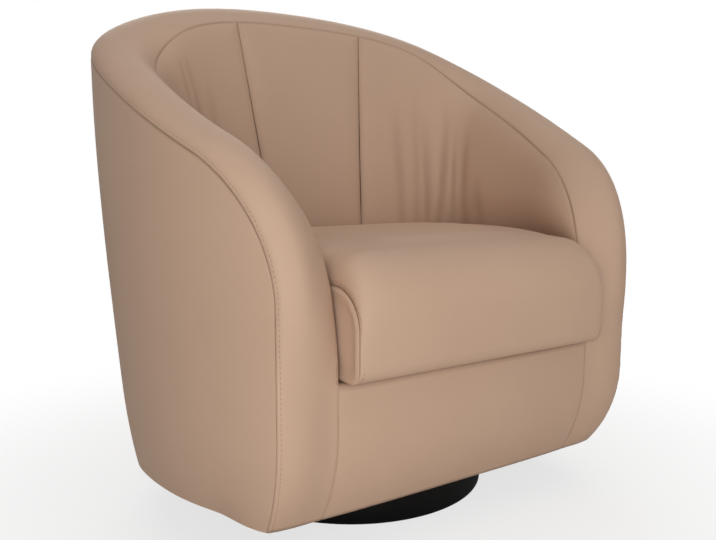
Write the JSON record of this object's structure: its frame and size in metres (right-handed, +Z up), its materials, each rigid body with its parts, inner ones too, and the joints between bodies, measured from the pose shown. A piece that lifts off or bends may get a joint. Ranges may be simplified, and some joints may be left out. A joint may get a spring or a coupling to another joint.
{
  "type": "swivel tub chair",
  "caption": "Leather swivel tub chair: barrel shell with a padded wrap-around rim and a boxed seat cushion, turning on a low round ball-bearing base.",
  "frame": {"origin": "on the floor, on the swivel axis, at the centre of the round base", "axes": "+Z up along the swivel axis, the seat faces -Y, +X to the right as seen from the front, as left and right in the names are meant"},
  "size_m": [0.8396, 0.6819, 0.8509],
  "materials": {
    "tan_leather": "smooth tan leather, satin",
    "black_lacquer": "black lacquered wood, satin",
    "zinc_plated_steel": "bright zinc plate",
    "bearing_steel": "polished balls in a cage",
    "white_nylon": "moulded nylon",
    "grey_felt": "pressed felt",
    "birch_plywood": "bare birch plywood",
    "beech_timber": "bare beech",
    "brown_fibreboard": "thin bent fibreboard",
    "cream_foam": "cut polyurethane foam",
    "spring_steel": "oiled spring wire",
    "black_webbing": "elastic webbing",
    "grey_deck_cloth": "woven deck cloth",
    "black_cambric": "thin dust cloth"
  },
  "bodies": {
    "base": {"foot_pad": "grey_felt", "base_disc": "black_lacquer", "lower_plate": "zinc_plated_steel", "base_screw_1": "zinc_plated_steel", "base_screw_2": "zinc_plated_steel", "base_screw_3": "zinc_plated_steel", "base_screw_4": "zinc_plated_steel", "king_bolt": "zinc_plated_steel", "king_washer": "zinc_plated_steel", "king_nut": "zinc_plated_steel"},
    "bearing": {"ball_ring": "bearing_steel"},
    "seat": {"upper_plate": "zinc_plated_steel", "pivot_bush": "white_nylon", "plate_screw_1": "zinc_plated_steel", "plate_screw_2": "zinc_plated_steel", "plate_screw_3": "zinc_plated_steel", "plate_screw_4": "zinc_plated_steel", "base_panel": "birch_plywood", "left_batten": "beech_timber", "right_batten": "beech_timber", "dust_cover": "black_cambric", "left_arm_panel": "birch_plywood", "right_arm_panel": "birch_plywood", "left_front_post": "beech_timber", "right_front_post": "beech_timber", "left_side_rib": "birch_plywood", "right_side_rib": "birch_plywood", "left_back_rib": "birch_plywood", "right_back_rib": "birch_plywood", "centre_back_rib": "birch_plywood", "rim_bow": "birch_plywood", "seat_ring": "birch_plywood", "front_rail": "beech_timber", "seat_spring_1": "spring_steel", "seat_spring_2": "spring_steel", "seat_spring_3": "spring_steel", "seat_spring_4": "spring_steel", "seat_deck": "grey_deck_cloth", "lower_strap": "black_webbing", "middle_strap": "black_webbing", "upper_strap": "black_webbing", "outer_board": "brown_fibreboard", "outer_cover": "tan_leather", "inside_left_foam": "cream_foam", "inside_centre_foam": "cream_foam", "inside_right_foam": "cream_foam", "inside_left_cover": "tan_leather", "inside_centre_cover": "tan_leather", "inside_right_cover": "tan_leather", "rim_band": "tan_leather", "rim_foam": "cream_foam", "front_cover": "tan_leather", "front_foam": "cream_foam", "cushion_wrap": "tan_leather", "cushion_foam": "cream_foam", "left_boxing": "tan_leather", "right_boxing": "tan_leather", "zip_panel": "tan_leather"}
  },
  "joints": [
    {"name": "seat_swivel", "type": "hinge", "parent": "base", "child": "seat", "pos_m": [0, 0, 0], "axis": [0, 0, 1], "continuous": true},
    {"name": "ball_ring_roll", "type": "hinge", "parent": "base", "child": "bearing", "pos_m": [0, 0, 0], "axis": [0, 0, 1], "continuous": true}
  ],
  "couplings": [
    {"joint": "ball_ring_roll", "follows": "seat_swivel", "ratio": 0.5}
  ]
}
